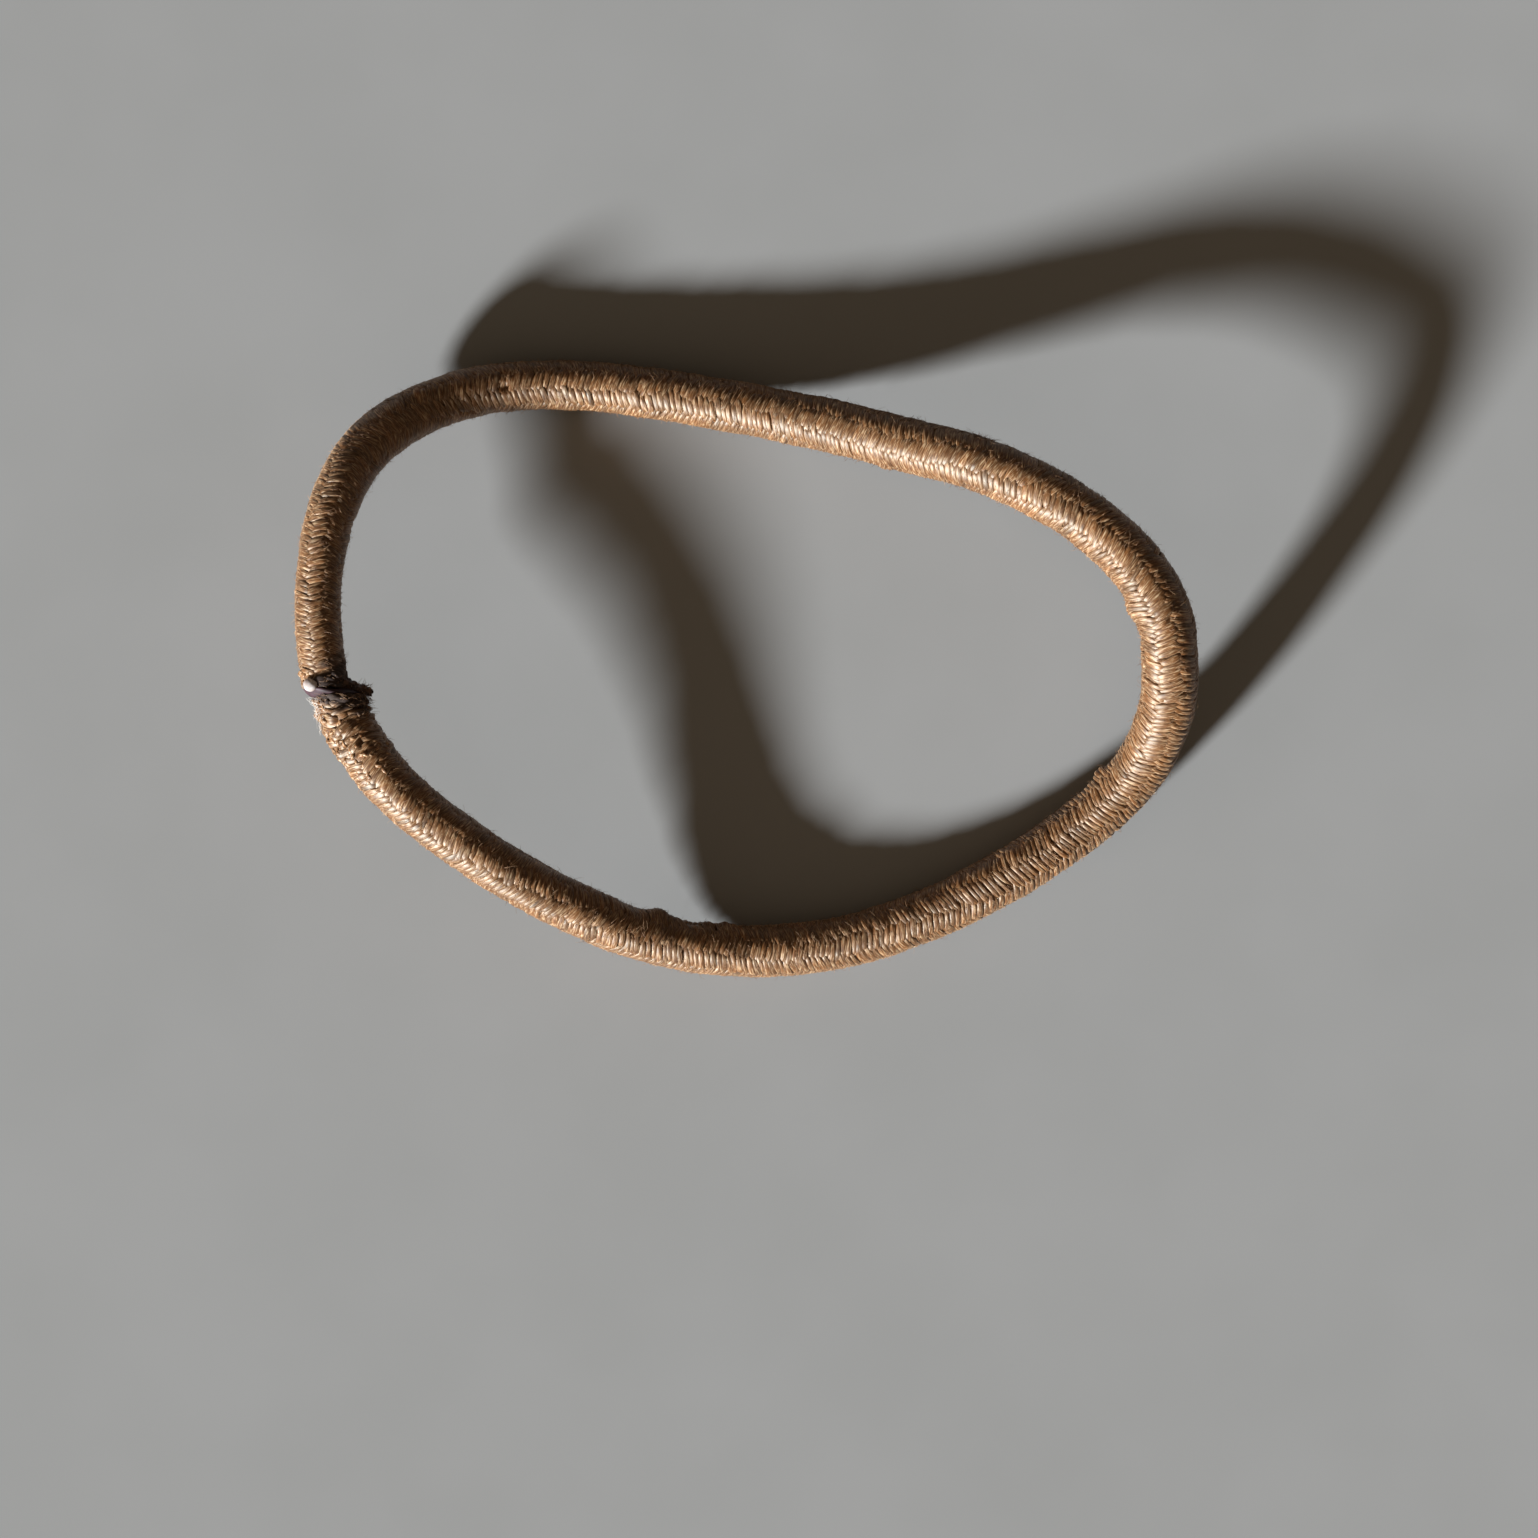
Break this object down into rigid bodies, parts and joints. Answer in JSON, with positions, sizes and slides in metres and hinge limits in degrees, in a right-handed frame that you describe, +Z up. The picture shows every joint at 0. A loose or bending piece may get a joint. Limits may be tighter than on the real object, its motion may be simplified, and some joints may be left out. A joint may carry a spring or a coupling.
{
  "type": "elastic hair tie",
  "caption": "Covered elastic cord loop that holds a ponytail: braided yarn over rubber threads, closed by a glued butt joint. Relaxed and slightly warped.",
  "frame": {"origin": "middle of the loop's box, on the surface that it lies on", "axes": "+X along the loop's longest extent, away from the glued joint; +Y across the loop, towards the flatter strand; +Z up from the surface"},
  "size_m": [0.0679, 0.0472, 0.0129],
  "materials": {
    "cover_yarn": "lustrous bronze-brown filament yarn, braided nearly square to the cord",
    "latex_thread": "matt brown-dyed latex",
    "dark_adhesive": "dark purple-brown cured adhesive, smooth",
    "clear_adhesive": "clear cured adhesive, glossy"
  },
  "bodies": {
    "elastic_loop": {"braided_cover": "cover_yarn", "rubber_thread_01": "latex_thread", "rubber_thread_02": "latex_thread", "rubber_thread_03": "latex_thread", "rubber_thread_04": "latex_thread", "rubber_thread_05": "latex_thread", "rubber_thread_06": "latex_thread", "rubber_thread_07": "latex_thread", "rubber_thread_08": "latex_thread", "rubber_thread_09": "latex_thread", "rubber_thread_10": "latex_thread", "rubber_thread_11": "latex_thread", "rubber_thread_12": "latex_thread", "rubber_thread_13": "latex_thread", "rubber_thread_14": "latex_thread", "rubber_thread_15": "latex_thread", "rubber_thread_16": "latex_thread", "rubber_thread_17": "latex_thread", "rubber_thread_18": "latex_thread", "rubber_thread_19": "latex_thread"},
    "glued_joint": {"adhesive_film": "dark_adhesive", "adhesive_bead": "clear_adhesive", "adhesive_flash": "dark_adhesive"}
  },
  "joints": [
    {"name": "stretch", "type": "slide", "parent": "elastic_loop", "child": "glued_joint", "axis": [-1, 0, 0], "range_m": [0, 0.065], "stiffness_N_per_m": 100, "deforming": ["braided_cover", "rubber_thread_01", "rubber_thread_02", "rubber_thread_03", "rubber_thread_04", "rubber_thread_05", "rubber_thread_06", "rubber_thread_07", "rubber_thread_08", "rubber_thread_09", "rubber_thread_10", "rubber_thread_11", "rubber_thread_12", "rubber_thread_13", "rubber_thread_14", "rubber_thread_15", "rubber_thread_16", "rubber_thread_17", "rubber_thread_18", "rubber_thread_19"]}
  ]
}
